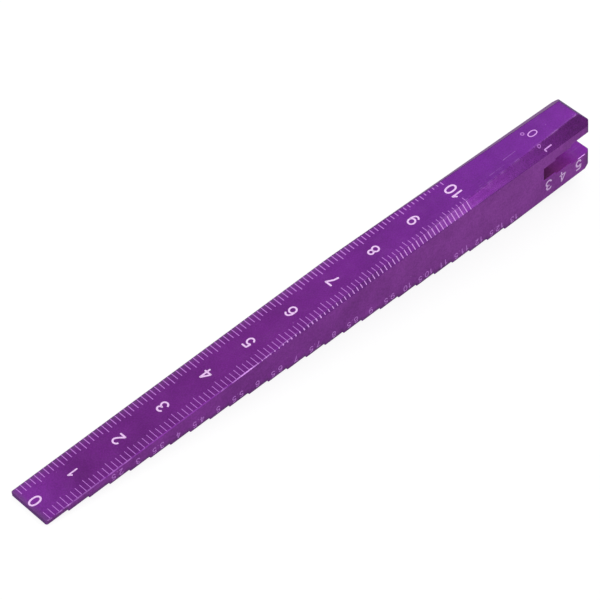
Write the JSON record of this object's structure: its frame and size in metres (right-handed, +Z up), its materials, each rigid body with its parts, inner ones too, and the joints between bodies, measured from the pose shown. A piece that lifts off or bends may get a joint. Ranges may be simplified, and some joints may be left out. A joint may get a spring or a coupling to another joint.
{
  "type": "ride height gauge",
  "caption": "Stepped metal bar gauge with a ruler on its flat face, two tapered camber facets and a stepped open-ended wrench slot at the thick end.",
  "frame": {"origin": "centre of the bounding box, on the surface that the step corners rest on", "axes": "+X towards the thick end with the wrench slot, +Y towards the back side, away from the one-degree facet, +Z up out of the resting surface; the ruler face is tilted by 6.34 degrees about Y, as the bar rests on its step corners"},
  "size_m": [0.1314, 0.0094, 0.0153],
  "materials": {
    "anodised_aluminium": "satin, dyed purple"
  },
  "bodies": {
    "root": {"gauge_bar": "anodised_aluminium"}
  },
  "joints": []
}
